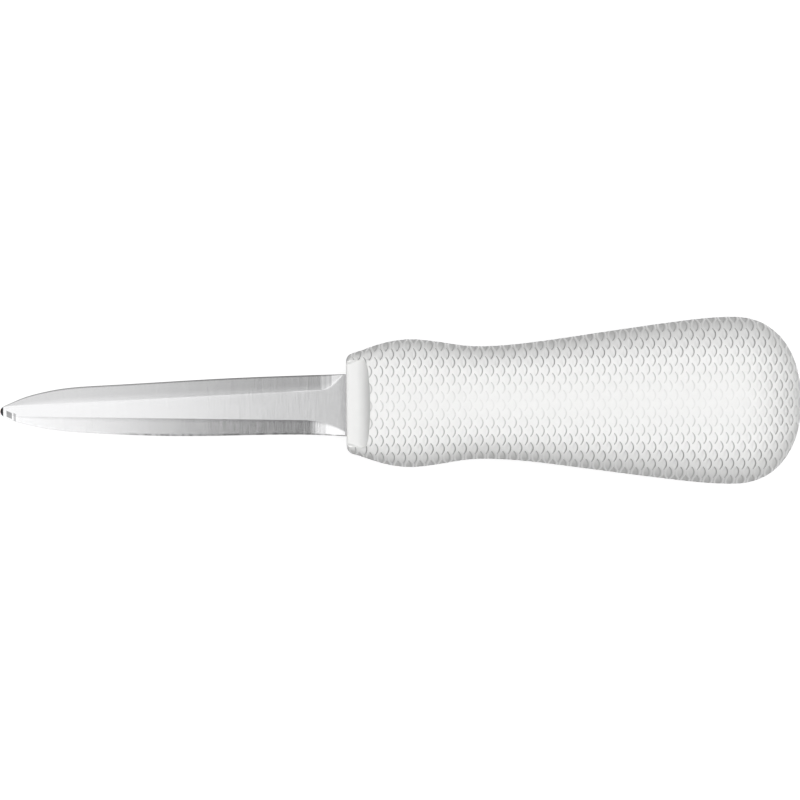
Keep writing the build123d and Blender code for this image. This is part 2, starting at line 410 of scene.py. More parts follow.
# Distance along the handle as the pattern counts it: plain distance, but no slower than a share of the
# surface's own length where the butt turns away
def patternPlace():
    angle = np.linspace(0, math.pi / 2, grid["tableSteps"])
    power = 2 / handle["domeFullness"]
    x = (handle["length"] - handle["butt"]) * np.sin(angle) ** power
    z = handle["keys"][-1][2] / 2 * np.cos(angle) ** power
    along = np.hypot(np.diff(x), np.diff(z))
    counted = np.concatenate([[0], np.cumsum(np.maximum(np.diff(x), hollow["slowest"] * along))])
    length = np.concatenate([[0], np.cumsum(along)])
    butt = handle["butt"]
    return (np.concatenate([[0], butt + x]), np.concatenate([[0], butt + counted]),
            butt + x, length, angle)


# Columns of the surface: the front edge's steps, then eight to a pitch of the hollows, then even steps
# over the butt. With each comes its phase in the pattern
def columnPlaces():
    turn = np.linspace(0, math.pi / 2, grid["frontSteps"], endpoint=False)
    front = handle["frontEdge"] * (1 - np.cos(turn))
    repeats = np.arange(*grid["pitches"])[:, None] + np.array(hollow["columns"])[None, :]
    phases = repeats.ravel()
    places = hollow["middleX"] + phases * hollow["pitch"] - handle["frontX"]
    domeX, domeLength, domeAngle = patternTable[2:]
    last = np.interp(math.radians(grid["buttAngle"]), domeAngle, domeX)
    kept = (places > handle["frontEdge"] + grid["frontGap"]) & (places < last)
    start = np.interp(places[kept][-1], domeX, domeLength)
    lengths = np.arange(start + grid["buttStep"], domeLength[-1] - grid["buttStep"] / 2, grid["buttStep"])
    cap = np.interp(lengths, domeLength, domeX)
    allPlaces = np.concatenate([front, places[kept], cap])
    sways = np.concatenate([0 * front, np.sin(2 * math.pi * phases[kept]), 0 * cap])
    return allPlaces, sways


# Rows of the pattern at each point: distance round the section from the middle of the broad face, counted
# as plain distance across, but no slower than a share of the section's own length down the sides
def rowsAt(y, z):
    step = np.diff(y, axis=1)
    counted = np.maximum(np.abs(step), hollow["slowest"] * np.hypot(step, np.diff(z, axis=1)))
    total = np.hstack([np.zeros((len(y), 1)), np.cumsum(counted, axis=1)])
    middle = (topStart + topEnd - 1) // 2
    across = total[:, middle:middle + 1] - total
    both = np.hstack([across, -across])
    return (both - hollow["rowZeroY"]) / hollow["rowPitch"]


# Depth of the hollows, from the phase along the handle and the row: each hollow lies between two arcs, and
# its depth grows from both by a smooth step as wide as that side's wall
def hollowDepth(phase, row):
    depth = np.zeros_like(row)
    for nearest in (np.floor(row), np.floor(row) + 1):
        share = np.clip(np.abs(row - nearest) / hollow["halfHeight"], 0, 1)
        half = hollow["halfWidth"] * (1 - share**2)
        offset = (phase - 0.5 * np.mod(nearest, 2) + 0.5) % 1 - 0.5
        fromMiddle = offset * hollow["pitch"]
        right = np.clip((half - fromMiddle) / hollow["rightWall"], 0, 1)
        left = np.clip((half + fromMiddle) / hollow["leftWall"], 0, 1)
        shape = (right * right * (3 - 2 * right)) * (left * left * (3 - 2 * left))
        depth = np.maximum(depth, shape)
    return depth * hollow["depth"]


# Unit normals of a surface that closes round its second direction: the cross product of its two slopes
def surfaceNormals(points):
    alongSlope = np.gradient(points, axis=0)
    aroundSlope = np.roll(points, -1, axis=1) - np.roll(points, 1, axis=1)
    normals = np.cross(aroundSlope, alongSlope)
    normals /= np.maximum(np.linalg.norm(normals, axis=-1, keepdims=True), 1e-12)
    return normals


# Both halves of the section from the upper one, as points with x along the handle
def wholeSection(place, y, z):
    x = np.hstack([place, place])
    return np.stack([x, np.hstack([y, -y]), np.hstack([z, -z])], -1)


# The grip's outer surface, and at each point the phase, row and strength of its hollows and how steep a
# flank it is. A point of the handle moves inward along its normal by the hollow's depth, and those under a
# pad are drawn together before the rim and sunk below the pad's height
def gripPoints():
    places, sways = columnPlaces()
    table = np.repeat(places[:, None], halfLines, axis=1)
    y, z = upperLines(table)
    rows = rowsAt(y, z)[:, :halfLines]
    fade = np.clip((table - hollow["fadeFrom"]) / hollow["fadeOver"], 0, 1)
    moved = table + hollow["sway"] * sways[:, None] * np.cos(math.pi * rows) * fade
    rim = rimPlaces()
    rim[isTop] -= pad["rimShift"] + pad["rimBow"] * topShares[1:-1]**2
    first = np.searchsorted(places, rim[isTop].max() + grid["rimGap"])
    moved[first, isTop] = rim[isTop]
    squeeze = (rim - grid["tuckStart"] - grid["tuckGap"]) / places[first - 1]
    sunk = np.zeros(table.shape, bool)
    sunk[:first, isTop] = True
    moved = np.where(sunk, grid["tuckStart"] + table * squeeze, moved)
    y, z = upperLines(moved)
    rows = rowsAt(y, z)
    surface = wholeSection(moved, y, z)
    alongPattern = np.interp(surface[..., 0], patternTable[0], patternTable[1]) + handle["frontX"]
    phase = (alongPattern - hollow["middleX"]) / hollow["pitch"]
    normals = surfaceNormals(surface)
    upward = np.abs(normals[..., 2])
    steepness = hollow["sideShare"] + (1 - hollow["sideShare"]) * upward
    fromMiddle = rows * hollow["rowPitch"] + hollow["rowZeroY"]
    across = fromMiddle / (hollow["fullShare"] * sizesAt(surface[..., 0])[0])
    dome = np.clip((surface[..., 0] - handle["butt"]) / (handle["length"] - handle["butt"]), 0, 1)
    aside = np.clip(np.hypot(across, dome / hollow["fullDome"]), 0, 1)
    toFront = 1 - np.clip(surface[..., 0] / hollow["frontEnd"], 0, 1)
    middle = hollow["middleShare"] + hollow["frontShare"] * toFront
    strength = middle + (1 - middle) * aside**2 * (3 - 2 * aside)
    flank = np.clip((hollow["flankFrom"] - upward) / (hollow["flankFrom"] - hollow["flankWhole"]), 0, 2)
    fading = np.hstack([fade, fade]) * np.clip((1 - dome) / hollow["endFade"], 0, 1)
    shallow = 1 - (1 - hollow["flankDepth"]) * np.clip(flank, 0, 1)
    share = hollow["leastDepth"] + (1 - hollow["leastDepth"]) * strength
    depth = hollowDepth(phase, rows) * fading * steepness * shallow * share
    bothSunk = np.hstack([sunk, sunk])
    surface = surface - normals * (depth * ~bothSunk)[..., None]
    under = padHeight(moved) - pad["sunk"]
    surface[..., 2] = np.where(bothSunk, np.hstack([under, -under]), surface[..., 2])
    pattern = np.stack([phase, rows, fading * strength * ~bothSunk, flank * ~bothSunk], -1)
    return surface, pattern


# The wall's inner side, from the butt to the front: the handle drawn in by the wall, then beside the pads
# two upright faces, and under them a floor below the sunk skin
def wallPoints():
    wallEnd = handle["length"] - handle["wall"]
    turn = np.linspace(math.pi / 2 * grid["wallPole"], 0, grid["wallRows"] // 2, endpoint=False)
    dome = handle["butt"] + (wallEnd - handle["butt"]) * np.sin(turn) ** (2 / handle["domeFullness"])
    straight = np.linspace(handle["butt"], pad["flat"] + pad["rise"], grid["wallRows"])
    table = np.repeat(np.concatenate([dome, straight])[:, None], halfLines, axis=1)
    y, z = upperLines(table, handle["wall"])
    back = wholeSection(table, y, z)
    behind = pad["flat"] + pad["rise"] - grid["besideStart"]
    beside = np.linspace(behind, grid["besideEnd"], grid["besideRows"])
    table = np.repeat(beside[:, None], halfLines, axis=1)
    y, z = upperLines(table)
    under = np.minimum(padHeight(table), pad["halfHeight"]) - pad["sunk"] - pad["floor"]
    y = np.where(isTop, y, np.sign(y) * (pad["halfWidth"] - grid["besideGap"]))
    z = np.where(isTop, under, np.minimum(z * grid["besideTop"], pad["halfHeight"] - pad["sunk"]))
    table = np.where(isTop, np.maximum(table, grid["besideFront"]), table)
    front = wholeSection(table, y, z)
    return np.concatenate([back, front]), wallEnd


# The grip as one closed skin: its inner side, then its outer surface, with a pole at each end
def addGrip(material):
    outer, pattern = gripPoints()
    inner, wallEnd = wallPoints()
    points = np.concatenate([inner, outer])
    origin = np.array([handle["frontX"], 0, handle["middleZ"]])
    mesh = gridMesh("grip_skin", (points + origin) * millimetre, True,
                    (np.array([wallEnd, 0, 0]) + origin) * millimetre,
                    (np.array([handle["length"], 0, 0]) + origin) * millimetre)
    if signedVolume(mesh) < 0:
        mesh.flip_normals()
    mesh.shade_smooth()
    mesh.set_sharp_from_angle(angle=math.radians(grid["sharpAngle"]))
    values = np.zeros((len(mesh.vertices), 4), np.float32)
    values[inner.size // 3:inner.size // 3 + outer.size // 3] = pattern.reshape(-1, 4)
    addVectors(mesh, "hollows", values[:, :3])
    mesh.attributes.new("flank", "FLOAT", "POINT").data.foreach_set("value", values[:, 3].copy())
    mesh.materials.append(material)
    piece = bpy.data.objects.new("grip_skin", mesh)
    scene.collection.objects.link(piece)
    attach(piece, "root")
    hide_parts("grip")
    print("grip:", len(mesh.vertices), "vertices, volume", round(signedVolume(mesh) * 1e9), "mm3")


# Volume inside a closed mesh: a sixth of each triangle's triple product, added up
def signedVolume(mesh):
    mesh.calc_loop_triangles()
    corners = np.empty(len(mesh.loop_triangles) * 3, np.int32)
    mesh.loop_triangles.foreach_get("vertices", corners)
    places = np.empty(len(mesh.vertices) * 3, np.float32)
    mesh.vertices.foreach_get("co", places)
    triangles = places.reshape(-1, 3)[corners.reshape(-1, 3)].astype(float)
    return float((triangles[:, 0] * np.cross(triangles[:, 1], triangles[:, 2])).sum() / 6)


# Blade, in millimetres: lengths are measured from its tip, heights from the handle's axis
blade = {
    "tipX": -92.0, "middleZ": 13.0, "half": 1.15, "polishedEnd": 79.2, "step": 0.3,
    "top": ((0.0, -1.1), (0.12, -0.65), (1.83, 0.544), (4.62, 1.741), (9.15, 3.074), (13.53, 3.91),
            (23.88, 4.692), (50.94, 6.018), (79.6, 6.8)),
    "bottom": ((0.0, -1.1), (0.12, -1.55), (1.83, -2.843), (3.66, -3.45), (8.76, -4.763), (20.7, -6.188),
               (31.84, -6.825), (47.76, -7.125), (73.63, -7.163), (79.6, -7.5)),
    "topChord": ((13.53, 3.91), (79.6, 6.8)), "bottomChord": ((17.51, -5.925), (73.63, -7.163)),
    "topEnd": 73.3, "bottomEnd": 69.5, "topWheel": 20.0, "bottomWheel": 85.0,
    "bevelAngle": 13.0, "bevelWidth": 3.4, "facetLength": 3.8, "facetAngle": 5.0,
    "topRounding": 0.1, "bottomRounding": 0.14, "roundTurns": (30, 60, 90), "roundWhole": 0.5,
    "topBlend": 0.16, "bottomBlend": 0.004,     # how softly each bevel meets the flat, as height
    "runBlend": 0.04, "blendEase": 6.0,         # the least of that in the run-outs, and where it begins
    # How finely it is divided, and how near a shoulder may come to an edge and to the middle
    "nearTip": (0.004, 0.015, 0.04, 0.08, 0.14, 0.22), "firstStep": 0.3, "facetStep": 0.001, "curveSteps": 4001,
    "bevelLines": 10, "bevelCrowding": 1.5,
    "flatLines": 14, "flatShare": 0.9, "besideShoulder": (0.94, 0.97, 1),
    "narrowest": 0.002, "leastFlat": 0.1, "sharpAngle": 4,
    # How the painted shade and highlight change from line to line, up to the lower shoulder and on from the
    # upper one
    "lowerShading": (0.25, 0.6, 0.9), "upperShading": (0.5, 0.85, 0.7, 0.45, 0.2),
}


# An edge of the blade as height over the length from the tip: a spline through its points that is worked
# out over the distance run through them, so that it can start upright at the nose
def edgeCurve(points):
    table = np.array(points)
    run = np.concatenate([[0], np.cumsum(np.hypot(*np.diff(table, axis=0).T))])
    fine = np.linspace(0, run[-1], blade["curveSteps"])
    along, height = [splineThrough(run, table[:, column], False)(fine) for column in (0, 1)]
    return lambda length: np.interp(length, np.maximum.accumulate(along), height)


# One bevel's measures at points of the blade, square to its chord and along it: distance outward from its
# shoulder line, and distance past its end
def bevelMeasures(length, height, chord, side, bevelEnd):
    (startX, startY), (endX, endY) = chord
    run = math.hypot(endX - startX, endY - startY)
    alongX, alongY = (endX - startX) / run, (endY - startY) / run
    outward = ((length - startX) * -alongY + (height - startY) * alongX) * side
    past = (length - startX) * alongX + (height - startY) * alongY - (bevelEnd - startX) * alongX
    return outward + blade["bevelWidth"], past


# How far the wheel has risen from the bevel's plane at a distance past the bevel's end
def wheelRise(past, radius):
    return radius - np.sqrt(radius**2 - np.clip(past, 0, radius / 2)**2)


# Half the blade's thickness: the flat, or the bevel's plane where that is lower. Past its end each bevel
# rises on the wheel's arc, and at the nose the lower one falls a little further
def halfThicknessAt(length, height):
    lean = math.radians(blade["bevelAngle"])
    result = np.full(length.shape, blade["half"])
    for name, side in (("top", 1), ("bottom", -1)):
        outward, past = bevelMeasures(length, height, blade[name + "Chord"], side, blade[name + "End"])
        rise = wheelRise(past, blade[name + "Wheel"])
        bevel = blade["half"] + (rise - outward * math.sin(lean)) / math.cos(lean)
        crisp = np.minimum(blade[name + "Blend"], blade["runBlend"])
        ahead = np.clip(-past / blade["blendEase"], 0, 1)
        result = softLower(result, bevel, crisp + (blade[name + "Blend"] - crisp) * ahead)
    outward, past = bevelMeasures(length, height, blade["bottomChord"], -1, blade["facetLength"])
    fall = math.tan(math.radians(blade["facetAngle"])) * past
    return np.minimum(result, blade["half"] + (fall - outward * math.sin(lean)) / math.cos(lean))


# The lower of two heights, rounded where they meet: takes away a parabola as wide as the rounding
def softLower(first, second, rounding):
    near = np.clip(rounding - np.abs(first - second), 0, None)
    return np.minimum(first, second) - near**2 / (4 * rounding)


# Where a bevel's shoulder runs, as height: its line, pushed outward past the bevel's end as the wheel
# rises, and pulled inward at the nose by the facet. It stops short of the edge
def shoulderHeight(length, edge, name, side):
    (startX, startY), (endX, endY) = blade[name + "Chord"]
    slope = (endY - startY) / (endX - startX)
    lean = math.radians(blade["bevelAngle"])
    outward = wheelRise(length - blade[name + "End"], blade[name + "Wheel"]) / math.sin(lean)
    if name == "bottom":
        fall = math.tan(math.radians(blade["facetAngle"])) / math.sin(lean)
        outward = outward + fall * np.minimum(length - blade["facetLength"], 0)
    fromChord = side * (outward - blade["bevelWidth"]) * math.hypot(1, slope)
    height = startY + slope * (length - startX) + fromChord
    return np.minimum(height * side, edge * side - blade["narrowest"]) * side


# The blade's outer form: one row of points round each section, from the lower edge over the upper face to
# the top edge and back under. Lines follow both edges and both shoulders. With each point come five values
# for the material: near the top edge, near the lower edge, on a bevel, near the lower and the upper shoulder
def bladePoints():
    along = np.arange(blade["firstStep"], blade["polishedEnd"], blade["step"])
    breaks = [blade["facetLength"] + blade["facetStep"], blade["polishedEnd"]]
    length = np.sort(np.concatenate([blade["nearTip"], along, breaks]))
    top, bottom = edgeCurve(blade["top"])(length), edgeCurve(blade["bottom"])(length)
    narrow = np.minimum((top - bottom) / 2, blade["roundWhole"]) / blade["roundWhole"]
    roundTop, roundBottom = blade["topRounding"] * narrow, blade["bottomRounding"] * narrow
    upper = shoulderHeight(length, top - roundTop, "top", 1)
    lower = shoulderHeight(length, bottom + roundBottom, "bottom", -1)
    middle = (top + bottom) / 2
    upper = np.maximum(upper, middle + (top - middle) * blade["leastFlat"])
    lower = np.minimum(lower, middle + (bottom - middle) * blade["leastFlat"])

    def between(first, last, shares):
        return first[:, None] + (last - first)[:, None] * np.array(shares)[None, :]

    bevelShares = np.linspace(0, 1, blade["bevelLines"]) ** blade["bevelCrowding"]
    flatShares = np.linspace(0, blade["flatShare"], blade["flatLines"])
    flatShares = np.concatenate([flatShares, blade["besideShoulder"]])
    faces = np.hstack([
        between(bottom + roundBottom, lower, 1 - bevelShares[::-1])[:, :-1],
        between(lower, upper, flatShares)[:, :-1],
        between(upper, top - roundTop, bevelShares),
    ])
    table = np.repeat(length[:, None], faces.shape[1], axis=1)
    half = halfThicknessAt(table, faces)
    turn = np.radians(blade["roundTurns"])[None, :]
    topY = (top - roundTop)[:, None] + roundTop[:, None] * np.sin(turn)
    topZ = half[:, -1:] - roundTop[:, None] * (1 - np.cos(turn))
    bottomY = (bottom + roundBottom)[:, None] - roundBottom[:, None] * np.sin(turn[:, ::-1])
    bottomZ = half[:, :1] - roundBottom[:, None] * (1 - np.cos(turn[:, ::-1]))
    y, z = np.hstack([bottomY, faces, topY]), np.hstack([bottomZ, half, topZ])
    table = np.repeat(length[:, None], y.shape[1], axis=1)
    over = np.stack([table, y, z], -1)
    under = np.stack([table, y, -z], -1)[:, ::-1]
    rounded = len(blade["roundTurns"])
    lowerColumn, upperColumn = blade["bevelLines"] + rounded - 1, -blade["bevelLines"] - rounded
    edges = np.zeros(over.shape[:2] + (5,))
    edges[:, -rounded - 1:, 0] = edges[:, :rounded + 1, 1] = 1
    edges[:, :lowerColumn, 2] = edges[:, upperColumn + 1:, 2] = 1
    edges[:, lowerColumn - len(blade["lowerShading"]):lowerColumn, 3] = blade["lowerShading"]
    edges[:, upperColumn:upperColumn + len(blade["upperShading"]), 4] = blade["upperShading"]
    return np.concatenate([over, under], axis=1), np.concatenate([edges, edges[:, ::-1]], axis=1)


# The bar behind the polished part: heel, roots of a small radius, tang with its holes, and a rounded tail
tang = {
    "startX": -12.8, "rootX": -10.4, "endX": 59.6, "top": 6.8, "bottom": -7.5,
    "halfWidth": 5.25, "half": 1.25, "rootRadius": 1.395, "tailRadius": 3.0,
    "holeRadius": 3.0, "holes": (5.6, 25.6, 45.6), "holePoints": 48, "rootPoints": 7, "tailPoints": 9,
}


# A run of points on a circle, between two angles in degrees
def arcPoints(centre, radius, start, end, count):
    turn = np.radians(np.linspace(start, end, count))
    return np.stack([centre[0] + radius * np.cos(turn), centre[1] + radius * np.sin(turn)], -1)


# A flat plate: straight lines and arcs round its outline, with a circle for each hole, as thick as the bar
def tangMesh():
    rootPoints, tailPoints, holePoints = tang["rootPoints"], tang["tailPoints"], tang["holePoints"]
    side, root, tail = tang["halfWidth"], tang["rootRadius"], tang["tailRadius"]
    tailX, rootX = tang["endX"] - tail, tang["rootX"] + root
    outline = np.concatenate([
        [(tang["startX"], tang["bottom"]), (tang["rootX"], tang["bottom"])],
        arcPoints((rootX, -side - root), root, 180, 90, rootPoints),
        arcPoints((tailX, tail - side), tail, -90, 0, tailPoints),
        arcPoints((tailX, side - tail), tail, 0, 90, tailPoints),
        arcPoints((rootX, side + root), root, 270, 180, rootPoints),
        [(tang["rootX"], tang["top"]), (tang["startX"], tang["top"])],
    ])
    lastTurn = 360 - 360 / holePoints
    loops = [outline]
    loops += [arcPoints((x, 0), tang["holeRadius"], 0, lastTurn, holePoints) for x in tang["holes"]]
    curve = bpy.data.curves.new("tang", "CURVE")
    curve.dimensions, curve.fill_mode, curve.extrude = "2D", "BOTH", tang["half"] * millimetre
    for loop in loops:
        spline = curve.splines.new("POLY")
        spline.points.add(len(loop) - 1)
        flat = np.zeros((len(loop), 4))
        flat[:, :2], flat[:, 3] = loop * millimetre, 1
        spline.points.foreach_set("co", flat.ravel())
        spline.use_cyclic_u = True
    holder = bpy.data.objects.new("tang", curve)
    mesh = bpy.data.meshes.new_from_object(holder)
    bpy.data.objects.remove(holder)
    return mesh


# The polished blade, closed by a pole at each end, and the bar behind it, in one mesh
def addBlade(material):
    origin = np.array([blade["tipX"], 0, blade["middleZ"]])
    points, edges = bladePoints()
    points = points + origin
    ends = [row.mean(axis=0) for row in (points[0], points[-1])]
    mesh = gridMesh("steel_blade", points * millimetre, True, ends[0] * millimetre, ends[1] * millimetre)
    whole = bmesh.new()
    whole.from_mesh(mesh)
    behind = bmesh.new()
    behind.from_mesh(tangMesh())
    bmesh.ops.remove_doubles(behind, verts=behind.verts, dist=1e-6)
    bmesh.ops.translate(behind, verts=behind.verts, vec=(0, 0, blade["middleZ"] * millimetre))
    bmesh.ops.recalc_face_normals(behind, faces=behind.faces)
    bmesh.ops.recalc_face_normals(whole, faces=whole.faces)
    joined = bpy.data.meshes.new("tangPlate")
    behind.to_mesh(joined)
    whole.from_mesh(joined)
    whole.to_mesh(mesh)
    mesh.shade_smooth()
    mesh.set_sharp_from_angle(angle=math.radians(blade["sharpAngle"]))
    values = np.zeros((len(mesh.vertices), 5), np.float32)
    values[:edges.size // 5] = edges.reshape(-1, 5)
    addVectors(mesh, "edges", values[:, :3])
    addVectors(mesh, "shoulders", values[:, 2:])
    mesh.materials.append(material)
    piece = bpy.data.objects.new("steel_blade", mesh)
    scene.collection.objects.link(piece)
    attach(piece, "root")
    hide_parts("blade")
    print("blade:", len(mesh.vertices), "vertices, volume", round(signedVolume(mesh) * 1e9), "mm3")


# A noise texture on the object's own coordinates, stretched by a scale for each direction, per metre
def addNoise(tree, scale, detail=3.0, roughness=0.5):
    coordinates = tree.nodes.new("ShaderNodeTexCoord")
    mapping = addNode(tree, "ShaderNodeMapping", Vector=coordinates.outputs["Object"], Scale=scale)
    noise = addNode(tree, "ShaderNodeTexNoise", Vector=mapping.outputs[0], Scale=1.0, Detail=detail,
                    Roughness=roughness)
    return noise.outputs["Fac"]


# The object's own coordinates, each by itself
def objectPlace(tree):
    coordinates = tree.nodes.new("ShaderNodeTexCoord")
    return addNode(tree, "ShaderNodeSeparateXYZ", Vector=coordinates.outputs["Object"])


# The three values of one of the mesh's attributes, each by itself
def attributeParts(tree, name):
    source = addNode(tree, "ShaderNodeAttribute", {"attribute_name": name})
    return addNode(tree, "ShaderNodeSeparateXYZ", Vector=source.outputs["Vector"]).outputs


# A value taken from one range to another, held at both ends
def ranged(tree, value, low, high, first=0.0, last=1.0, kind="SMOOTHSTEP"):
    node = addNode(tree, "ShaderNodeMapRange", {"interpolation_type": kind}, Value=value)
    for name, number in (("From Min", low), ("From Max", high), ("To Min", first), ("To Max", last)):
        node.inputs[name].default_value = number
    return node.outputs[0]


# A noise spread from one number to another: most of it lies between 0.3 and 0.7
def spread(tree, source, low, high):
    return ranged(tree, source, 0.3, 0.7, low, high, "LINEAR")


# A value limited to between nothing and one
def limited(tree, value):
    return addNode(tree, "ShaderNodeClamp", Value=value).outputs[0]


# The product of several values
def productOf(tree, first, *others):
    for value in others:
        first = mathOf(tree, "MULTIPLY", first, value)
    return first


# One less a value
def oneLess(tree, value):
    return mathOf(tree, "SUBTRACT", 1.0, value)


# What a mask leaves of a tone: one less the mask's share
def leftBy(tree, mask, share):
    return oneLess(tree, mathOf(tree, "MULTIPLY", mask, share))


# How far a value is from the nearest whole number
def fromWhole(tree, value):
    return mathOf(tree, "SUBTRACT", value, mathOf(tree, "ROUND", value))


# A colour scaled by a value
def tinted(tree, colour, share):
    node = tree.nodes.new("ShaderNodeMix")
    node.data_type, node.blend_type = "RGBA", "MULTIPLY"
    node.inputs["Factor"].default_value = 1.0
    if isinstance(colour, bpy.types.NodeSocket):
        tree.links.new(colour, node.inputs["A"])
    else:
        node.inputs["A"].default_value = colour
    tree.links.new(share, node.inputs["B"])
    return node.outputs["Result"]


# A new material, with its tree and its shader
def newMaterial(name):
    material = bpy.data.materials.new(name)
    material.use_nodes = True
    return material, material.node_tree, material.node_tree.nodes["Principled BSDF"]


plasticLook = {
    "colour": (0.89, 0.89, 0.882, 1), "gloss": 0.35,
    "gripRoughness": 0.5, "padRoughness": 0.32, "smoother": 0.05, "rougher": 0.06,
    "mottleScale": 420, "mottleTone": 0.975,  # faint blotches: how many to the metre, and their darkest tone
    "grainScale": 5200, "grainDetail": 2.0, "grainHeight": 0.00004, "gripGrain": 0.3, "padGrain": 0.15,
    "wallWidth": 0.16, "wallDepth": 0.16,     # crisp step at the right of each hollow, in millimetres
    "creaseWidth": 0.4, "creaseShadeTone": 0.7,    # where painted shade darkens the foot of that step, and how much
    "flankCrease": 0.75, "flankShadeTone": 0.22,   # on the flanks: how the painted crease shade thins, and the painted shade beside the strands
    "strandMiddle": 0.2, "strandHalf": 0.3,   # the strand that each hollow's left arc leaves, in millimetres
    "strandSheen": 1.0,                       # how the strands shine
    "partingFrom": 1.3, "partingWhole": 1.8, "partingShadeTone": 0.34,     # painted shade along the parting line, where the sides turn away: how steep, how dark
    "padTone": 0.97, "rimStart": -0.0101, "rimEnd": -0.007, "rimTone": 0.3,   # painted shade in the corner where the pads rise
}


# White moulding: faint blotches in its tone, and a fine grain in its gloss and its surface
def whitePlastic(name, roughness, grain):
    material, tree, shader = newMaterial(name)
    mottle = spread(tree, addNoise(tree, (plasticLook["mottleScale"],) * 3), plasticLook["mottleTone"], 1.0)
    tree.links.new(tinted(tree, plasticLook["colour"], mottle), shader.inputs["Base Color"])
    fine = addNoise(tree, (plasticLook["grainScale"],) * 3, plasticLook["grainDetail"])
    uneven = spread(tree, fine, roughness - plasticLook["smoother"], roughness + plasticLook["rougher"])
    tree.links.new(uneven, shader.inputs["Roughness"])
    bump = addNode(tree, "ShaderNodeBump", Strength=grain, Distance=plasticLook["grainHeight"], Height=fine)
    tree.links.new(bump.outputs[0], shader.inputs["Normal"])
    shader.inputs["Specular IOR Level"].default_value = plasticLook["gloss"]
    return material, tree, shader


# The core's plastic: painted shade darkens the corner where the pads rise to the grip
def corePlastic(name):
    material, tree, shader = whitePlastic(name, plasticLook["padRoughness"], plasticLook["padGrain"])
    before = shader.inputs["Base Color"].links[0].from_socket
    # painted shade: the tone falls towards the rim where the pads rise, standing in for the shade in that
    # corner
    rimShade = ranged(tree, objectPlace(tree).outputs[0], plasticLook["rimStart"], plasticLook["rimEnd"],
                  plasticLook["padTone"], plasticLook["padTone"] - plasticLook["rimTone"])
    tree.links.new(tinted(tree, before, rimShade), shader.inputs["Base Color"])
    return material


# For one family of rows, the even or the odd ones: how far inside the right and left arcs of the nearest
# hollow a point is, in millimetres, as in hollowDepth
def hollowDistances(tree, phase, row, odd):
    half = mathOf(tree, "MULTIPLY", mathOf(tree, "SUBTRACT", row, odd), 0.5)
    fromRow = mathOf(tree, "MULTIPLY", fromWhole(tree, half), 2.0)
    share = limited(tree, mathOf(tree, "DIVIDE", mathOf(tree, "ABSOLUTE", fromRow), hollow["halfHeight"]))
    width = mathOf(tree, "MULTIPLY", leftBy(tree, share, share), hollow["halfWidth"])
    moved = mathOf(tree, "SUBTRACT", phase, 0.5 * odd)
    across = mathOf(tree, "MULTIPLY", fromWhole(tree, moved), hollow["pitch"])
    return mathOf(tree, "SUBTRACT", width, across), mathOf(tree, "ADD", width, across)


# The grip's plastic: the white plastic with a crisp step along the right arc of each hollow and painted shade
# at its foot. On the flanks that painted shade thins out, painted shade lies between the strands, and the
# strands shine. A band of painted shade darkens the parting line where the sides turn away
def grippedPlastic(name):
    material, tree, shader = whitePlastic(name, plasticLook["gripRoughness"], plasticLook["gripGrain"])
    phase, row, strength = attributeParts(tree, "hollows")
    steep = addNode(tree, "ShaderNodeAttribute", {"attribute_name": "flank"}).outputs["Fac"]
    flank = limited(tree, steep)
    # painted shade along the parting line, darkening the sides where they turn away from the light
    partingShade = ranged(tree, steep, plasticLook["partingFrom"], plasticLook["partingWhole"], 1.0,
                     1 - plasticLook["partingShadeTone"])
    steps, creaseShades, strands = [], [], []
    for odd in (0, 1):
        right, left = hollowDistances(tree, phase, row, odd)
        fromLeft = limited(tree, mathOf(tree, "DIVIDE", left, hollow["leftWall"]))
        fromRight = limited(tree, mathOf(tree, "DIVIDE", right, plasticLook["wallWidth"]))
        steps.append(productOf(tree, fromLeft, fromRight))
        # painted shade at the foot of each hollow's step, where shade falls in the crease
        fading = limited(tree, oneLess(tree, mathOf(tree, "DIVIDE", right, plasticLook["creaseWidth"])))
        inside = productOf(tree, *(mathOf(tree, "GREATER_THAN", side, 0.0) for side in (right, left)))
        creaseShades.append(productOf(tree, fading, inside))
        beside = mathOf(tree, "ABSOLUTE", mathOf(tree, "ADD", left, plasticLook["strandMiddle"]))
        beside = mathOf(tree, "DIVIDE", beside, plasticLook["strandHalf"])
        strands.append(limited(tree, oneLess(tree, beside)))
    strand = mathOf(tree, "MAXIMUM", *strands)
    tree.links.new(productOf(tree, strand, flank, plasticLook["strandSheen"]), shader.inputs["Sheen Weight"])
    strength = productOf(tree, strength, leftBy(tree, flank, plasticLook["flankCrease"]))
    step = productOf(tree, mathOf(tree, "MAXIMUM", *steps), strength)
    creaseShade = productOf(tree, mathOf(tree, "MAXIMUM", *creaseShades), strength)
    # painted shade on the flanks between the strands
    between = productOf(tree, oneLess(tree, strand), flank)
    # all the painted shade of the grip: in the creases, along the parting line and between the strands
    paintedShading = productOf(tree, leftBy(tree, creaseShade, plasticLook["creaseShadeTone"]), partingShade,
                      leftBy(tree, between, plasticLook["flankShadeTone"]))
    before = shader.inputs["Base Color"].links[0].from_socket
    tree.links.new(tinted(tree, before, paintedShading), shader.inputs["Base Color"])
    grain = shader.inputs["Normal"].links[0].from_socket
    wall = addNode(tree, "ShaderNodeBump", {"invert": True}, Strength=1.0,
                   Distance=plasticLook["wallDepth"] * millimetre, Height=step, Normal=grain)
    tree.links.new(wall.outputs[0], shader.inputs["Normal"])
    return material


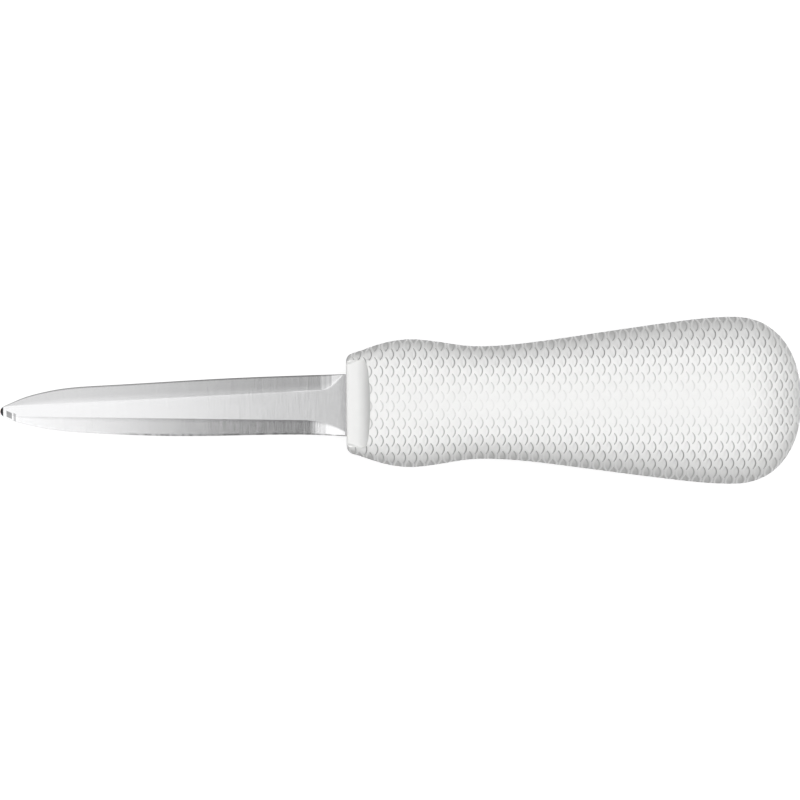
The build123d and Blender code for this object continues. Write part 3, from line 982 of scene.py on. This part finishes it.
steelLook = {
    "colour": (0.7, 0.7, 0.705, 1), "roughness": 0.14, "smoother": 0.04, "rougher": 0.06,
    # Each noise: how many to the metre along X, Y and Z, its detail and its roughness
    "lines": ((7000, 260, 260), 4.0, 0.65), "linesTone": 0.95, "linesStrength": 0.25, "linesHeight": 0.00001,
    "broad": ((900, 60, 60), 2.0), "broadTone": 0.985,
    "streaks": ((950, 40, 40), 3.0, 0.6),     # wider marks of the wheel near the run-outs
    "streakStart": -0.026, "streakEnd": -0.0205, "streakHeight": 0.000016,
    "edgeShadeBreaks": ((700, 30, 30), 3.0, 0.7),       # breaks in the painted shade along the lower edge
    "nickLow": 0.42, "nickHigh": 0.56, "nickShare": 0.6,
    "edgeShadeTone": 0.69, "topFocus": 3.0, "bottomFocus": 2.0,    # how much painted shade darkens the edges, and how narrow it is
    "bellyStart": -0.068, "bellyEnd": -0.058,                 # where the lower edge's painted shade begins
    "heelStart": -0.0147, "heelEnd": -0.0124, "heelShadeTone": 0.19,       # painted shade on the steel beside the handle
    "shoulderShadeTone": 0.2, "shoulderHighlight": 0.28,   # painted shade beside the lower shoulder, painted highlight beside the upper
    "noseX": -0.0913, "noseSoftness": 0.0001, "noseReflectionTone": 0.96,       # a painted dark reflection makes the nose nearly black
    # Spots of darker tone, in millimetres: start, end, lowest, highest, slope, how much
    "noseSpots": ((-90.57, -89.3, -2.3, -0.9, -0.45, 0.62), (-88.96, -88.4, -3.2, -1.4, -0.5, 0.45)),
    "bevelSpots": (
        (-17.9, -15.8, 2.0, 8.0, 0, 0.2), (-17.5, -17.0, 2.0, 8.0, 0, 0.12), (-16.35, -15.8, 2.0, 8.0, 0, 0.12),
        (-22.0, -19.6, -8.0, -3.0, 0, 0.23), (-18.7, -17.2, -8.0, -3.0, 0, 0.13),
        (-14.9, -12.4, -8.0, -7.18, -0.05, 0.35),
    ),
    "spotSoftness": 0.1,
}


# A mask that is one in a spot: a window along the blade, and one across it that drifts with the slope
def spotMask(tree, place, start, end, lowest, highest, slope):
    soft = steelLook["spotSoftness"]
    x, y = (mathOf(tree, "DIVIDE", place.outputs[axis], millimetre) for axis in (0, 1))
    drift = mathOf(tree, "MULTIPLY", mathOf(tree, "SUBTRACT", x, start), slope)
    drifted = mathOf(tree, "SUBTRACT", y, drift)
    sides = ((x, start, soft), (x, end, -soft), (drifted, lowest, soft), (drifted, highest, -soft))
    return productOf(tree, *(ranged(tree, value, side - half, side + half) for value, side, half in sides))


# Ground steel: fine lines across the blade tilt its surface and change its gloss and tone a little. Near the
# run-outs the wheel left wider streaks. Painted shade darkens the edges, the steel beside the handle and the
# lower shoulder, a painted highlight lightens the upper shoulder, and a painted dark reflection blackens the
# nose
def groundSteel(name):
    material, tree, shader = newMaterial(name)
    shader.inputs["Metallic"].default_value = 1.0
    noises = ("lines", "broad", "streaks", "edgeShadeBreaks")
    lines, broad, streaks, edgeShadeBreaks = (addNoise(tree, *steelLook[noise]) for noise in noises)
    place = objectPlace(tree)
    x = place.outputs[0]
    topSide, bottomSide, _ = attributeParts(tree, "edges")
    onBevel, lowerShoulder, upperShoulder = attributeParts(tree, "shoulders")
    tone = productOf(tree, spread(tree, lines, steelLook["linesTone"], 1.0),
                     spread(tree, broad, steelLook["broadTone"], 1.0))
    # painted shade along both edges, standing in for the shade on their rounding
    topEdge = mathOf(tree, "POWER", topSide, steelLook["topFocus"])
    broken = ranged(tree, edgeShadeBreaks, steelLook["nickLow"], steelLook["nickHigh"], 1 - steelLook["nickShare"])
    belly = ranged(tree, x, steelLook["bellyStart"], steelLook["bellyEnd"])
    bottomEdge = productOf(tree, mathOf(tree, "POWER", bottomSide, steelLook["bottomFocus"]), broken, belly)
    # painted shade on the steel beside the handle, where the handle shades it
    heel = ranged(tree, x, steelLook["heelStart"], steelLook["heelEnd"])
    # painted reflection: the nose is painted nearly black, as its dark reflection
    nose = ranged(tree, x, steelLook["noseX"] + steelLook["noseSoftness"],
                  steelLook["noseX"] - steelLook["noseSoftness"])
    # painted shade beside the lower shoulder, painted highlight beside the upper one, painted shade on the
    # edges and beside the handle, and a painted dark reflection on the nose
    masks = [(lowerShoulder, steelLook["shoulderShadeTone"]), (upperShoulder, -steelLook["shoulderHighlight"]),
             (topEdge, steelLook["edgeShadeTone"]), (bottomEdge, steelLook["edgeShadeTone"]),
             (heel, steelLook["heelShadeTone"]), (nose, steelLook["noseReflectionTone"])]
    masks += [(spotMask(tree, place, *spot[:-1]), spot[-1]) for spot in steelLook["noseSpots"]]
    masks += [(productOf(tree, spotMask(tree, place, *spot[:-1]), onBevel), spot[-1])
              for spot in steelLook["bevelSpots"]]
    for mask, share in masks:
        tone = productOf(tree, tone, leftBy(tree, mask, share))
    tree.links.new(tinted(tree, steelLook["colour"], tone), shader.inputs["Base Color"])
    uneven = spread(tree, lines, steelLook["roughness"] - steelLook["smoother"],
                    steelLook["roughness"] + steelLook["rougher"])
    tree.links.new(uneven, shader.inputs["Roughness"])
    fine = addNode(tree, "ShaderNodeBump", Strength=steelLook["linesStrength"],
                   Distance=steelLook["linesHeight"], Height=lines)
    nearby = ranged(tree, x, steelLook["streakStart"], steelLook["streakEnd"])
    bump = addNode(tree, "ShaderNodeBump", Strength=1.0, Distance=steelLook["streakHeight"],
                   Height=productOf(tree, streaks, nearby, onBevel), Normal=fine.outputs[0])
    tree.links.new(bump.outputs[0], shader.inputs["Normal"])
    return material


# A CAD node keeps its mesh and gets a material
def dressNode(name, material):
    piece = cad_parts[name]
    piece.data.materials.clear()
    piece.data.materials.append(material)


patternTable = patternPlace()
addStudio()
print("studio ready")
addBlade(groundSteel("groundSteel"))
dressNode("handle_core", corePlastic("corePlastic"))
print("core dressed")
addGrip(grippedPlastic("gripPlastic"))
